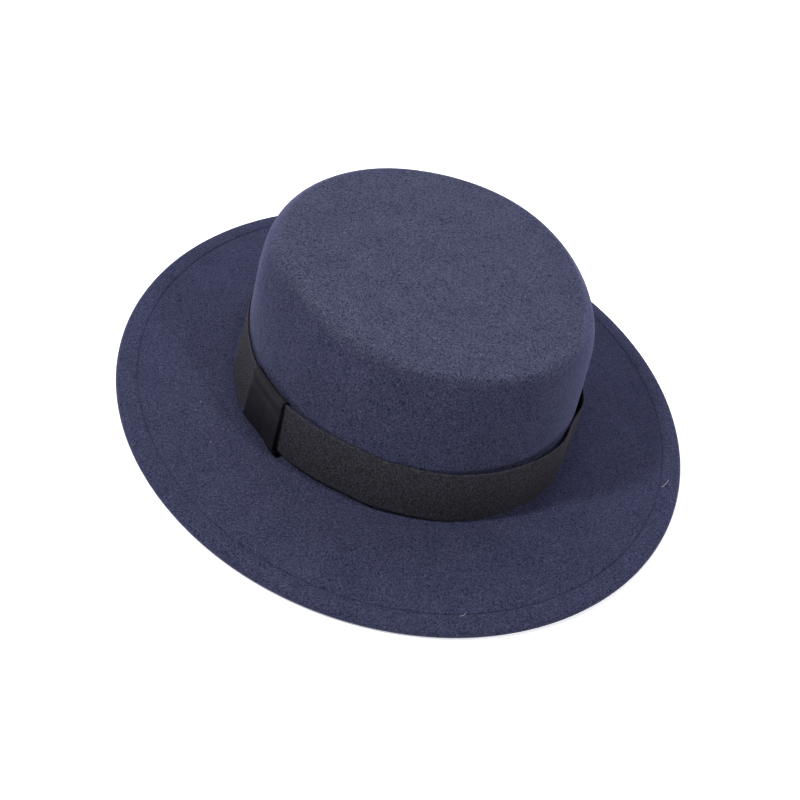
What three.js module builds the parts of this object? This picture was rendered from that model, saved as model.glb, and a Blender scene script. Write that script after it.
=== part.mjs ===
import * as THREE from 'three';

// A flat-topped felt hat with a wide brim and a ribbon band. Sizes are in millimetres.
// The hat rests on the underside of its brim's edge at z = 0. Its front faces -Y, the
// wearer's right side is -X, and the vertical axis runs through the middle of the crown.

// Crown, measured outside the felt
const headLength = 204;
const headWidth = 170.5;
const shoulderLength = 190;
const shoulderWidth = 167.4;
const crownHeight = 75.4;
const shoulderRadius = 22;
const crestRadius = 7;
const crestBend = 43;
const shoulderBend = 90;
const frontShoulderLength = 178.7;
const frontShoulderWidth = 152.3;
const frontShoulderShift = 5;
const frontCrestRadius = 3.5;
const frontCrestBend = 70;
const frontShoulderBend = 73;
const frontTurnShare = -0.02;
const frontReachShare = 0.15;
const frontEaseShare = 0.08;
const tipDome = 1.6;
const tipLean = 2.8;
const crownSquareness = 2.1;

// Brim, measured outwards from the foot of the crown
const brimFront = 65.3;
const brimSide = 61.8;
const brimDrop = 5;
const footRadius = 1.2;

// Felt wall and the hem, the brim's edge turned under
const feltThickness = 2.2;
const hemDepth = 10.4;
const hemFall = 0.8;

// Ribbon round the foot of the crown
const ribbonWidth = 27;
const ribbonThickness = 1;
const ribbonSlack = 2.6;
const ribbonRise = 3.2;

// Folded ribbon loop round the band
const keeperWidth = 29.5;
const keeperThickness = 0.9;
const keeperOuterCut = 0.45;
const keeperInnerCut = 0.15;
const keeperTurnShare = -0.163;
const keeperRampShare = 0.07;

// Gap left between neighbouring pieces
const clearance = 0.4;

// Fineness of the facets
const ringPoints = 84;
const crestSteps = 3;
const shoulderSteps = 4;
const footSteps = 2;
const foldSteps = 5;
const keeperSteps = 8;

// Crown wall from the foot to the shoulder: height as a share of the wall, and how much
// of the narrowing from head size to shoulder size is done there: all round, and in front
// along the hat and across it.
const wallSections = [
  { height: 0.25, round: 0.13, front: 0.104, side: 0.02 },
  { height: 0.5, round: 0.36, front: 0.287, side: 0.13 },
  { height: 0.75, round: 0.67, front: 0.588, side: 0.5 },
  { height: 1, round: 1, front: 1, side: 1 },
];

// Rounded shoulder all round the crown. Its bends are degrees turned from level, at the
// end of the tight crest and at the top of the wall.
const roundShoulder = {
  columns: ['round', 'round'],
  length: shoulderLength,
  width: shoulderWidth,
  shift: 0,
  radius: crestRadius,
  bends: [crestBend, shoulderBend],
};

// Crisper shoulder across the front, set over towards the wearer's left.
const frontShoulder = {
  columns: ['front', 'side'],
  length: frontShoulderLength,
  width: frontShoulderWidth,
  shift: frontShoulderShift,
  radius: frontCrestRadius,
  bends: [frontCrestBend, frontShoulderBend],
};

// Top of the crown from its middle outwards: reach as a share of the flat, and the fall
// from the middle as a share of the dome.
const tipSections = [
  { reach: 0.35, fall: 0.1 },
  { reach: 0.7, fall: 0.42 },
  { reach: 1, fall: 1 },
];

// Brim from the crown to the hem: reach and drop as shares. A shallow groove follows the
// foot of the crown.
const brimSections = [
  { reach: 0.04, drop: 0.05 },
  { reach: 0.1, drop: 0.01 },
  { reach: 0.3, drop: 0.2 },
  { reach: 0.55, drop: 0.5 },
  { reach: 0.8, drop: 0.82 },
  { reach: 1, drop: 1 },
];

// Ribbon by share of a turn from the front towards the wearer's left: how far its top
// and its foot stand off the crown, as shares of the slack, and how far it has ridden up.
const ribbonSections = [
  { turn: 0.02, top: 0.4, foot: 0.3, rise: 0 },
  { turn: 0.07, top: 0.6, foot: 0.5, rise: 0 },
  { turn: 0.13, top: 0.7, foot: 0.6, rise: 0 },
  { turn: 0.167, top: 0.1, foot: 0.1, rise: 0.1 },
  { turn: 0.19, top: 0.65, foot: 0.3, rise: 0.2 },
  { turn: 0.215, top: 0, foot: 0, rise: 0.3 },
  { turn: 0.35, top: 0, foot: 0, rise: 0.9 },
  { turn: 0.5, top: 0, foot: 0, rise: 0.5 },
  { turn: 0.63, top: 0, foot: 0, rise: 0.2 },
  { turn: 0.75, top: 0, foot: 0, rise: 0.4 },
  { turn: 0.85, top: 0, foot: 0, rise: 0.7 },
  { turn: 0.93, top: 0, foot: 0, rise: 1 },
  { turn: 0.97, top: 0.1, foot: 0.1, rise: 0.5 },
];

const hemThickness = 2 * feltThickness;
const crownFootZ = hemThickness + hemFall + brimDrop;
const fullTurn = 2 * Math.PI;

// Angles from level at the end of a shoulder's crest and at the top of the wall.
function bendAngles(shoulder) {
  return shoulder.bends.map((degrees) => (degrees / 360) * fullTurn);
}

// How far in from the crown's side, and how far above its wall, a shoulder lies where its
// surface has turned by an angle from level. It is tightest at the crest.
function shoulderPlace(shoulder, angle) {
  const [crestEnd, end] = bendAngles(shoulder);
  const side = Math.max(angle, crestEnd);
  const crest = Math.min(angle, crestEnd);
  const crestInset = shoulder.radius * (Math.sin(crestEnd) - Math.sin(crest));
  const crestRise = shoulder.radius * (Math.cos(crest) - Math.cos(crestEnd));
  return {
    inset: shoulderRadius * (Math.sin(end) - Math.sin(side)) + crestInset,
    rise: shoulderRadius * (Math.cos(side) - Math.cos(end)) + crestRise,
  };
}

// Height of the crown wall below a shoulder.
function wallHeight(shoulder) {
  return crownHeight - tipDome - shoulderPlace(shoulder, 0).rise;
}

const mix = (from, to, share) => from + (to - from) * share;

// Closed oval of the given half sizes: squareness 2 is an ellipse, more is squarer.
function ovalPoint(section, turn) {
  const angle = turn * fullTurn;
  const power = 2 / section.squareness;
  const x = Math.sign(Math.sin(angle)) * Math.abs(Math.sin(angle)) ** power;
  const y = -Math.sign(Math.cos(angle)) * Math.abs(Math.cos(angle)) ** power;
  const middle = section.shift ?? 0;
  return new THREE.Vector3(section.halfWidth * x + middle, section.halfLength * y, section.z);
}

// Ring of points round an oval section, counter-clockwise seen from above.
function ring(section) {
  return Array.from({ length: ringPoints }, (_, j) => ovalPoint(section, j / ringPoints));
}

function crownSection(halfLength, halfWidth, z, shift = 0) {
  return { halfLength, halfWidth, z, shift, squareness: crownSquareness };
}

// Section of the crown wall at a height above the foot of the crown.
function wallSection(height, shoulder = roundShoulder) {
  const rows = [{ height: 0, round: 0, front: 0, side: 0 }, ...wallSections];
  const share = height / wallHeight(shoulder);
  const next = rows.findIndex((row, i) => i > 0 && share <= row.height);
  const high = next < 0 ? rows.length - 1 : next;
  const [low, top] = [rows[high - 1], rows[high]];
  const local = (share - low.height) / (top.height - low.height);
  const [along, across] = shoulder.columns.map((name) => mix(low[name], top[name], local));
  return crownSection(
    mix(headLength, shoulder.length, along) / 2,
    mix(headWidth, shoulder.width, across) / 2,
    crownFootZ + height,
    shoulder.shift * across,
  );
}

// Brim section a distance in from the outer edge.
function edgeSection(inset, z) {
  return {
    halfLength: headLength / 2 + brimFront - inset,
    halfWidth: headWidth / 2 + brimSide - inset,
    z,
    squareness: 2,
  };
}

// Upper face of the felt, from the middle of the crown out to the hem.
function upperSections(shoulder) {
  const flat = shoulderPlace(shoulder, 0).inset;
  const [crestEnd, end] = bendAngles(shoulder);
  const sections = tipSections.map(({ reach, fall }) =>
    crownSection(
      (shoulder.length / 2 - flat) * reach,
      (shoulder.width / 2 - flat) * reach,
      crownFootZ + crownHeight - tipDome * fall,
      shoulder.shift * reach,
    ),
  );
  for (let i = 1; i < crestSteps + shoulderSteps; i += 1) {
    const crest = Math.min(i / crestSteps, 1);
    const side = Math.max(0, (i - crestSteps) / shoulderSteps);
    const angle = crestEnd * crest + (end - crestEnd) * side;
    const { inset, rise } = shoulderPlace(shoulder, angle);
    const z = crownFootZ + wallHeight(shoulder) + rise;
    const [halfLength, halfWidth] = [shoulder.length, shoulder.width].map((size) => size / 2);
    sections.push(crownSection(halfLength - inset, halfWidth - inset, z, shoulder.shift));
  }
  for (const { height } of [...wallSections].reverse()) {
    sections.push(wallSection(height * wallHeight(shoulder), shoulder));
  }
  for (let i = 0; i < footSteps; i += 1) {
    const angle = (Math.PI / 2) * (i / footSteps);
    const out = footRadius * (1 - Math.cos(angle));
    const z = crownFootZ + footRadius * (1 - Math.sin(angle));
    sections.push(crownSection(headLength / 2 + out, headWidth / 2 + out, z));
  }
  const hemLine = edgeSection(hemDepth, crownFootZ - brimDrop);
  for (const { reach, drop } of brimSections) {
    sections.push({
      halfLength: mix(headLength / 2 + footRadius, hemLine.halfLength, reach),
      halfWidth: mix(headWidth / 2 + footRadius, hemLine.halfWidth, reach),
      z: mix(crownFootZ, hemLine.z, drop),
      squareness: mix(crownSquareness, hemLine.squareness, reach),
    });
  }
  return sections;
}

// How fully the crown has its front shoulder at a turn.
function frontShare(turn) {
  const away = Math.abs(turn - frontTurnShare - Math.round(turn - frontTurnShare));
  const end = frontReachShare + frontEaseShare;
  return 1 - THREE.MathUtils.smoothstep(away, frontReachShare, end);
}

// Upper face as a grid of points, with the front shoulder eased into the round one.
function upperRows() {
  const round = upperSections(roundShoulder).map(ring);
  const front = upperSections(frontShoulder).map(ring);
  return round.map((row, i) =>
    row.map((point, j) => leaned(point.lerp(front[i][j], frontShare(j / ringPoints)))),
  );
}

// Point of the crown as it leans: its top falls towards the wearer's left.
function leaned(point) {
  const height = Math.max(0, point.z - crownFootZ) / crownHeight;
  const fall = (tipLean * height ** 2 * point.x) / shoulderWidth;
  return point.clone().setZ(point.z - fall);
}

// Points of the grid moved inwards, square to the surface, by the felt's thickness.
function innerRows(rows) {
  return rows.map((row, i) =>
    row.map((point, j) => {
      const above = i === 0 ? point : rows[i - 1][j];
      const below = i === rows.length - 1 ? point : rows[i + 1][j];
      const left = row[(j + ringPoints - 1) % ringPoints];
      const right = row[(j + 1) % ringPoints];
      const along = below.clone().sub(above);
      const normal = along.cross(right.clone().sub(left)).normalize();
      return point.clone().addScaledVector(normal, -feltThickness);
    }),
  );
}

// Closed body over a grid of rings. With poles, the first and last rings are closed onto
// them. Without, the last ring joins the first.
function gridGeometry(rows, poles = []) {
  const count = rows[0].length;
  const points = [...rows.flat(), ...poles];
  const triangles = [];
  const joins = poles.length ? rows.length - 1 : rows.length;
  for (let i = 0; i < joins; i += 1) {
    const here = i * count;
    const next = ((i + 1) % rows.length) * count;
    for (let j = 0; j < count; j += 1) {
      const k = (j + 1) % count;
      triangles.push(here + j, next + j, next + k, here + j, next + k, here + k);
    }
  }
  if (poles.length) {
    const first = rows.length * count;
    const lastRow = (rows.length - 1) * count;
    for (let j = 0; j < count; j += 1) {
      const k = (j + 1) % count;
      triangles.push(first, j, k, lastRow + j, first + 1, lastRow + k);
    }
  }
  const geometry = new THREE.BufferGeometry();
  const positions = points.flatMap((point) => point.toArray());
  geometry.setAttribute('position', new THREE.Float32BufferAttribute(positions, 3));
  geometry.setIndex(triangles);
  geometry.computeVertexNormals();
  return geometry;
}

// Crown and brim in one felt, with the brim's edge folded under.
function feltGeometry() {
  const upper = upperRows();
  const lower = innerRows(upper).reverse();
  const fold = [];
  for (let i = 0; i <= foldSteps; i += 1) {
    const angle = Math.PI * (i / foldSteps);
    const inset = feltThickness * (1 - Math.sin(angle));
    fold.push(ring(edgeSection(inset, feltThickness * (1 + Math.cos(angle)))));
  }
  const hemEnd = ring(edgeSection(hemDepth, 0));
  const tipTop = new THREE.Vector3(0, 0, crownFootZ + crownHeight);
  const tipUnder = new THREE.Vector3(0, 0, tipTop.z - feltThickness);
  return gridGeometry([...upper, ...fold, hemEnd, ...lower], [tipTop, tipUnder]);
}

// Value of a ribbon column at a turn, eased between its rows and closed round the crown.
function ribbonValue(column, turn) {
  const around = turn - Math.floor(turn);
  const rows = ribbonSections;
  const found = rows.findIndex((row) => around < row.turn);
  const next = found < 0 ? 0 : found;
  const low = rows[(next + rows.length - 1) % rows.length];
  const high = rows[next];
  const start = low.turn > around ? low.turn - 1 : low.turn;
  const end = high.turn <= around ? high.turn + 1 : high.turn;
  const share = THREE.MathUtils.smoothstep(around, start, end);
  return mix(low[column], high[column], share);
}

// Share of a turn that a length takes up along the foot of the crown at a place.
function turnOf(length, turn) {
  const step = 1 / ringPoints;
  const foot = wallSection(0);
  const run = ovalPoint(foot, turn + step).distanceTo(ovalPoint(foot, turn - step));
  return (length * 2 * step) / run;
}

// How far the ribbon is lifted off the crown by the keeper's ply behind it.
function keeperLift(turn) {
  const away = Math.abs(turn - keeperTurnShare - Math.round(turn - keeperTurnShare));
  const half = turnOf(keeperWidth, keeperTurnShare) / 2;
  const near = 1 - THREE.MathUtils.smoothstep(away, half, half + keeperRampShare);
  return (keeperThickness + clearance) * near;
}

// Point beside the crown wall, a distance out from its felt at a height above its foot.
function besideWall(turn, height, out) {
  const section = wallSection(height);
  const step = 1 / ringPoints;
  const ahead = ovalPoint(section, turn + step);
  const along = ahead.sub(ovalPoint(section, turn - step));
  const outward = new THREE.Vector3(along.y, -along.x, 0).normalize();
  return ovalPoint(section, turn).addScaledVector(outward, out);
}

// Ribbon's foot, top and stand-off at a turn, all measured from the foot of the crown.
function ribbonAt(turn) {
  const lift = clearance + keeperLift(turn);
  const foot = lift + ribbonRise * ribbonValue('rise', turn);
  return {
    foot,
    top: foot + ribbonWidth,
    footOut: lift + footGap(foot) + ribbonSlack * ribbonValue('foot', turn),
    topOut: lift + ribbonSlack * ribbonValue('top', turn),
  };
}

// How far the rounded corner at the foot of the crown reaches out at a height.
function footGap(height) {
  const below = Math.max(0, footRadius - height);
  return footRadius - Math.sqrt(footRadius ** 2 - below ** 2);
}

// Point of the ribbon's section: share up its width, and distance out from its inner face.
function ribbonPoint(turn, share, out) {
  const { foot, top, footOut, topOut } = ribbonAt(turn);
  return besideWall(turn, mix(foot, top, share), mix(footOut, topOut, share) + out);
}

// Closed ribbon loop round the crown.
function ribbonGeometry() {
  const corners = [
    { share: 1, out: 0 },
    { share: 1, out: ribbonThickness },
    { share: 0.5, out: ribbonThickness },
    { share: 0, out: ribbonThickness },
    { share: 0, out: 0 },
    { share: 0.5, out: 0 },
  ];
  return gridGeometry(
    corners.map(({ share, out }) =>
      Array.from({ length: ringPoints }, (_, j) => ribbonPoint(j / ringPoints, share, out)),
    ),
  );
}

// Loop round the ribbon's section, a margin away from it, with its corners cut off.
function keeperLoop(turn, margin, cut) {
  const { foot, top, footOut, topOut } = ribbonAt(turn);
  const sides = [
    { height: top, out: topOut, up: 1, side: -1 },
    { height: top, out: topOut + ribbonThickness, up: 1, side: 1 },
    { height: foot, out: footOut + ribbonThickness, up: -1, side: 1 },
    { height: foot, out: footOut, up: -1, side: -1 },
  ];
  return sides.flatMap(({ height, out, up, side }) => {
    const beside = [height + up * (margin - cut), out + side * margin];
    const beyond = [height + up * margin, out + side * (margin - cut)];
    const order = up === side ? [beyond, beside] : [beside, beyond];
    return order.map(([h, o]) => besideWall(turn, h, o));
  });
}

// Keeper: a sleeve round the ribbon, open at both ends.
function keeperGeometry() {
  const half = turnOf(keeperWidth, keeperTurnShare) / 2;
  const turns = Array.from({ length: keeperSteps + 1 }, (_, i) =>
    keeperTurnShare + half * (1 - (2 * i) / keeperSteps),
  );
  const outer = turns.map((turn) => keeperLoop(turn, clearance + keeperThickness, keeperOuterCut));
  const inner = turns.map((turn) => keeperLoop(turn, clearance, keeperInnerCut));
  return gridGeometry([...outer, ...inner.reverse()]);
}

function piece(name, geometry, color, roughness) {
  const material = new THREE.MeshStandardMaterial({ color, roughness, metalness: 0 });
  const mesh = new THREE.Mesh(geometry, material);
  mesh.name = name;
  return mesh;
}

const hat = new THREE.Group();
hat.add(piece('felt_body', feltGeometry(), 0x3e4059, 0.95));
hat.add(piece('ribbon_band', ribbonGeometry(), 0x2b2b30, 0.8));
hat.add(piece('band_keeper', keeperGeometry(), 0x1e1e23, 0.5));

export default hat;
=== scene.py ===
"""Flat-topped wide brim felt hat: felt, fuzz, hem stitching, ribbon, keeper and lint.

Sizes in the classes are millimetres, and meshes are written in metres in the model's
frame: front towards -Y, wearer's right towards -X, brim edge resting on z = 0. A turn is
a share of a full circle from the front towards the wearer's left.
"""

import logging
import math
from collections.abc import Mapping, Sequence
from dataclasses import dataclass, field, replace
from enum import Enum

import bpy
import numpy as np
from mathutils import Matrix, Vector


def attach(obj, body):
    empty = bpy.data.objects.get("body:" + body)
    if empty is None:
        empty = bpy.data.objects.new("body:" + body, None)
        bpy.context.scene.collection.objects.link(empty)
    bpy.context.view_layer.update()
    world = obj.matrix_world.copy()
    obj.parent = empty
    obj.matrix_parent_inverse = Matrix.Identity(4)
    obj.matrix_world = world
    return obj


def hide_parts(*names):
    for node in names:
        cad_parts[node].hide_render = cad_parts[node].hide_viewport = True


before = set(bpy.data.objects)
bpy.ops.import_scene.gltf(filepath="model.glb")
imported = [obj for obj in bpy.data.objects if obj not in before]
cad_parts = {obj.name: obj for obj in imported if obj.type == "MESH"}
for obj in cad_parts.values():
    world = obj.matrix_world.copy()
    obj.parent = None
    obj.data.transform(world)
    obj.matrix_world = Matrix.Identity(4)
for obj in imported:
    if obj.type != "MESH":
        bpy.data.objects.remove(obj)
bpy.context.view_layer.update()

MM = 0.001
BODY = "root"
Colour = tuple[float, float, float]
Point = tuple[float, float, float]
Socket = bpy.types.NodeSocket
log = logging.getLogger("hat")


class Weight(Enum):
    """How heavily a thread or strand is drawn: its radius."""

    SEWING = 0.16
    LINT = 0.085


class Pattern(Enum):
    """Shader node groups that the finishes share."""

    GRAIN = "matted fibre grain"
    DUST = "fine dust"


def smoothstep(low: float, high: float, value: np.ndarray) -> np.ndarray:
    """Eases from 0 at low to 1 at high."""
    share = np.clip((np.asarray(value) - low) / (high - low), 0.0, 1.0)
    return share * share * (3.0 - 2.0 * share)


def bell(value: np.ndarray, middle: float, width: float) -> np.ndarray:
    """Bell curve of height 1 about middle, with the given half width."""
    return np.exp(-(((np.asarray(value) - middle) / width) ** 2))


def mix(low: np.ndarray, high: np.ndarray, share: np.ndarray) -> np.ndarray:
    """Value a share of the way from low to high."""
    return low + (high - low) * share


def smooth_rows(rows: np.ndarray, spacing: Sequence[float], counts: list[int]) -> np.ndarray:
    """Runs a smooth curve through section rows and samples it.

    Args:
        rows: Half length, half width, height, squareness and middle of each section.
        spacing: Greatest distance between samples, one value for each gap.
        counts: Samples in each gap. An empty list is filled in from the spacing, so that
            a second call with it gives as many rows.

    Returns:
        Sampled rows, the given rows among them.
    """
    gaps = np.linalg.norm(np.diff(rows[:, [0, 2]], axis=0), axis=1)
    at = np.concatenate([[0.0], np.cumsum(gaps)])
    slopes = np.gradient(rows, at, axis=0)
    made = [rows[:1]]
    if not counts:
        pairs = zip(gaps, spacing, strict=True)
        counts.extend(max(1, math.ceil(gap / step)) for gap, step in pairs)
    for i, gap in enumerate(gaps):
        t = (np.arange(1, counts[i] + 1) / counts[i])[:, None]
        made.append(
            (2 * t**3 - 3 * t**2 + 1) * rows[i]
            + (t**3 - 2 * t**2 + t) * gap * slopes[i]
            + (3 * t**2 - 2 * t**3) * rows[i + 1]
            + (t**3 - t**2) * gap * slopes[i + 1]
        )
    return np.concatenate(made)


def round_oval(
    angle: np.ndarray, length: np.ndarray, width: np.ndarray, squareness: np.ndarray
) -> tuple[np.ndarray, np.ndarray]:
    """Places on an oval about the origin.

    Args:
        angle: Angles from the front, in radians.
        length: Half length of the oval.
        width: Half width of the oval.
        squareness: 2 for an ellipse, and more for a squarer oval.

    Returns:
        The x and the y of each place.
    """
    power = 2.0 / squareness
    x = width * np.sign(np.sin(angle)) * np.abs(np.sin(angle)) ** power
    y = -length * np.sign(np.cos(angle)) * np.abs(np.cos(angle)) ** power
    return x, y


def oval(rows: np.ndarray, turns: np.ndarray) -> np.ndarray:
    """Points round oval sections.

    Args:
        rows: Half length, half width, height, squareness and middle of each section.
        turns: Where the points lie round each section.

    Returns:
        Points as rows by turns by xyz.
    """
    length, width, z, squareness, middle = (rows[:, i, None] for i in range(5))
    x, y = round_oval(2 * math.pi * turns[None, :], length, width, squareness)
    return np.stack([middle + x, y, np.broadcast_to(z, x.shape)], axis=-1)


def linked(name: str, data: bpy.types.ID) -> bpy.types.Object:
    """Makes an object that holds the data and links it to the scene.

    Args:
        name: Name of the object.
        data: What the object holds.

    Returns:
        The new object.
    """
    made = bpy.data.objects.new(name, data)
    bpy.context.scene.collection.objects.link(made)
    return made


def store(piece: bpy.types.Object, name: str, values: np.ndarray) -> None:
    """Stores a named value for each point of a piece."""
    made = piece.data.attributes.new(name, "FLOAT", "POINT")
    made.data.foreach_set("value", values.astype(np.float32))


def loft(
    name: str,
    points: np.ndarray,
    across: np.ndarray | None = None,
    poles: Sequence[Sequence[float]] = (),
) -> bpy.types.Object:
    """Makes a closed mesh object over a grid of points whose columns go all round.

    Args:
        name: Name of the object.
        points: Rows by columns by xyz, in millimetres.
        across: Value of each row for the second coordinate of the "lay" map.
        poles: Closing points of the first and last row, in millimetres. Without them the
            last row joins the first.

    Returns:
        The new object, smooth shaded and linked to the scene.
    """
    rows, cols = points.shape[:2]
    low = np.arange(rows - 1 if poles else rows)[:, None]
    here = np.arange(cols)[None, :]
    up, on = (low + 1) % rows, (here + 1) % cols
    quads = np.stack(
        [low * cols + here, up * cols + here, up * cols + on, low * cols + on], axis=-1
    ).reshape(-1, 4)
    v = np.arange(rows + 1.0) / rows if across is None else np.append(across, across[0])
    span, shape = np.broadcast_to, (low.size, here.size)
    u_low, u_high = here / cols, (here + 1) / cols
    corners = ((u_low, 0), (u_low, 1), (u_high, 1), (u_high, 0))
    uv = np.stack(
        [np.stack([span(u, shape), span(v[low + step], shape)], axis=-1) for u, step in corners],
        axis=2,
    ).reshape(-1, 2)
    verts = points.reshape(-1, 3)
    loops, starts, totals = quads.ravel(), np.arange(len(quads)) * 4, np.full(len(quads), 4)
    if poles:
        first, last, base = len(verts), len(verts) + 1, (rows - 1) * cols
        verts = np.concatenate([verts, np.asarray(poles, dtype=float)])
        j = np.arange(cols)
        k = (j + 1) % cols
        caps = np.concatenate(
            [
                np.stack([np.full(cols, first), j, k], axis=-1),
                np.stack([base + j, np.full(cols, last), base + k], axis=-1),
            ]
        )
        starts = np.append(starts, loops.size + np.arange(len(caps)) * 3)
        totals = np.append(totals, np.full(len(caps), 3))
        loops = np.append(loops, caps.ravel())
        flat = np.zeros((caps.size, 2))
        flat[: cols * 3, 1] = v[0]
        flat[cols * 3 :, 1] = v[rows - 1]
        flat[:, 0] = np.repeat(np.tile(j / cols, 2), 3)
        uv = np.concatenate([uv, flat])
    mesh = bpy.data.meshes.new(name)
    mesh.vertices.add(len(verts))
    mesh.vertices.foreach_set("co", (verts * MM).ravel())
    mesh.loops.add(loops.size)
    mesh.loops.foreach_set("vertex_index", loops.astype(np.int32))
    mesh.polygons.add(len(starts))
    mesh.polygons.foreach_set("loop_start", starts.astype(np.int32))
    mesh.polygons.foreach_set("loop_total", totals.astype(np.int32))
    mesh.polygons.foreach_set("use_smooth", np.ones(len(starts), dtype=bool))
    mesh.update(calc_edges=True)
    mesh.uv_layers.new(name="lay").data.foreach_set("uv", uv.ravel())
    mesh.validate()
    return linked(name, mesh)


class Tree:
    """A node tree that is being put together, for geometry or for a shader."""

    def __init__(self, tree: bpy.types.NodeTree) -> None:
        """Takes the tree to fill."""
        self.tree = tree
        tree.nodes.clear()

    def node(self, kind: str, inputs: dict | None = None, **settings: object) -> bpy.types.Node:
        """Adds a node.

        Args:
            kind: Blender's name for the node.
            inputs: Values or sockets for the inputs, by name or index.
            settings: Properties of the node.

        Returns:
            The new node.
        """
        made = self.tree.nodes.new(kind)
        for name, value in settings.items():
            setattr(made, name, value)
        for key, value in (inputs or {}).items():
            if isinstance(value, Socket):
                self.tree.links.new(value, made.inputs[key])
            else:
                made.inputs[key].default_value = value
        return made

    def sockets(self, inputs: Sequence[tuple], outputs: Sequence[tuple]) -> Mapping[str, Socket]:
        """Adds the tree's named inputs and outputs.

        Args:
            inputs: Name, short type and any default value of each input.
            outputs: Name and short type of each output.

        Returns:
            The inputs' sockets inside the tree, by name.
        """
        for way, rows in (("INPUT", inputs), ("OUTPUT", outputs)):
            for name, kind, *value in rows:
                made = self.tree.interface.new_socket(
                    name=name, in_out=way, socket_type=f"NodeSocket{kind}"
                )
                if value:
                    made.default_value = value[0]
        return self.node("NodeGroupInput").outputs

    def math(self, operation: str, *values: object) -> Socket:
        """Adds a math node and gives its output."""
        return self.node("ShaderNodeMath", dict(enumerate(values)), operation=operation).outputs[0]

    def ranged(self, value: Socket, low: float, high: float, kind: str = "LINEAR") -> Socket:
        """Maps values between low and high to 0 to 1."""
        inputs = {"Value": value, "From Min": low, "From Max": high}
        return self.node("ShaderNodeMapRange", inputs, interpolation_type=kind).outputs[0]

    def noise(
        self, vector: Socket, scale: object, detail: float, roughness: float = 0.5
    ) -> Mapping[str, Socket]:
        """Adds a noise texture and gives its outputs."""
        inputs = {"Vector": vector, "Scale": scale, "Detail": detail, "Roughness": roughness}
        return self.node("ShaderNodeTexNoise", inputs).outputs

    def random(self, low: object, high: object, seed: object) -> Socket:
        """Adds random values between two numbers or two vectors.

        Args:
            low: Least value, as a socket, a number or a vector.
            high: Greatest value, of the same sort.
            seed: Seed, as a socket or a number.

        Returns:
            The random values.
        """
        kind, first = ("FLOAT_VECTOR", 0) if isinstance(low, tuple) else ("FLOAT", 2)
        inputs = {first: low, first + 1: high, "Seed": seed}
        return self.node("FunctionNodeRandomValue", inputs, data_type=kind).outputs[first // 2]

    def turned(self, rotation: Socket, low: Point, high: Point, seed: object) -> Socket:
        """Turns a rotation by random angles about its own axes.

        Args:
            rotation: The rotation to start from.
            low: Least angle about each axis, in radians.
            high: Greatest angle about each axis, in radians.
            seed: Seed, as a socket or a number.

        Returns:
            The turned rotation.
        """
        euler = self.node("FunctionNodeEulerToRotation", {0: self.random(low, high, seed)})
        inputs = {0: rotation, 1: euler.outputs[0]}
        return self.node("FunctionNodeRotateRotation", inputs, rotation_space="LOCAL").outputs[0]

    def named(self, name: str) -> Socket:
        """Adds a stored value of the mesh, for geometry."""
        kind = "GeometryNodeInputNamedAttribute"
        return self.node(kind, {"Name": name}, data_type="FLOAT").outputs[0]

    def end(self, geometry: Socket, material: Socket) -> bpy.types.NodeTree:
        """Ends a geometry tree with real meshes that have their material.

        Args:
            geometry: What the tree has made.
            material: The material to give it.

        Returns:
            The finished tree.
        """
        real = self.node("GeometryNodeRealizeInstances", {0: geometry}).outputs[0]
        done = self.node("GeometryNodeSetMaterial", {"Geometry": real, "Material": material})
        self.node("NodeGroupOutput", {0: done.outputs[0]})
        return self.tree

    def place(self) -> Socket:
        """Adds the Object coordinates, for a shader."""
        return self.node("ShaderNodeTexCoord").outputs["Object"]

    def parts(self, vector: Socket) -> Mapping[str, Socket]:
        """Splits a vector into X, Y and Z."""
        return self.node("ShaderNodeSeparateXYZ", {0: vector}).outputs

    def lay(self) -> Mapping[str, Socket]:
        """Adds the coordinates of the cloth's own map: X along and Y across."""
        return self.parts(self.node("ShaderNodeUVMap", uv_map="lay").outputs[0])

    def wave(self, along: Socket, count: float) -> Socket:
        """Adds a sine wave with a number of periods along 0 to 1."""
        return self.math("SINE", self.math("MULTIPLY", along, 2 * math.pi * count))

    def bump(self, height: Socket, strength: float, distance: float) -> Socket:
        """Adds relief from a height and gives the normal."""
        inputs = {"Strength": strength, "Distance": distance, "Height": height}
        return self.node("ShaderNodeBump", inputs).outputs[0]

    def pattern(self, kind: Pattern, inputs: dict) -> Mapping[str, Socket]:
        """Places a shared group, which its first use builds, and gives its outputs."""
        group = bpy.data.node_groups.get(kind.value) or PATTERNS[kind](kind.value)
        return self.node("ShaderNodeGroup", inputs, node_tree=group).outputs

    def blend(self, share: object, low: object, high: object) -> Socket:
        """Mixes two colours.

        Args:
            share: Share of the second colour, as a socket or a number.
            low: First colour, as a socket or three numbers.
            high: Second colour, as a socket or three numbers.

        Returns:
            The mixed colour.
        """
        full = [c if isinstance(c, Socket) else (*c, 1.0) for c in (low, high)]
        made = self.node("ShaderNodeMix", {0: share, 6: full[0], 7: full[1]}, data_type="RGBA")
        return made.outputs[2]


def apply_tree(
    target: bpy.types.Object, tree: bpy.types.NodeTree, values: dict[str, object]
) -> bpy.types.Object:
    """Runs a geometry tree on an object and keeps the result as a plain mesh.

    Args:
        target: Object that carries the tree's starting geometry.
        tree: The geometry tree.
        values: Values for the tree's named inputs.

    Returns:
        The same object with the finished mesh and no modifier.
    """
    modifier = target.modifiers.new("build", "NODES")
    modifier.node_group = tree
    for item in tree.interface.items_tree:
        if item.in_out == "INPUT" and item.name in values:
            modifier[item.identifier] = values[item.name]
    graph = bpy.context.evaluated_depsgraph_get()
    made = bpy.data.meshes.new_from_object(target.evaluated_get(graph), depsgraph=graph)
    target.modifiers.remove(modifier)
    made.name = target.name
    target.data = made
    return target


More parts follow.
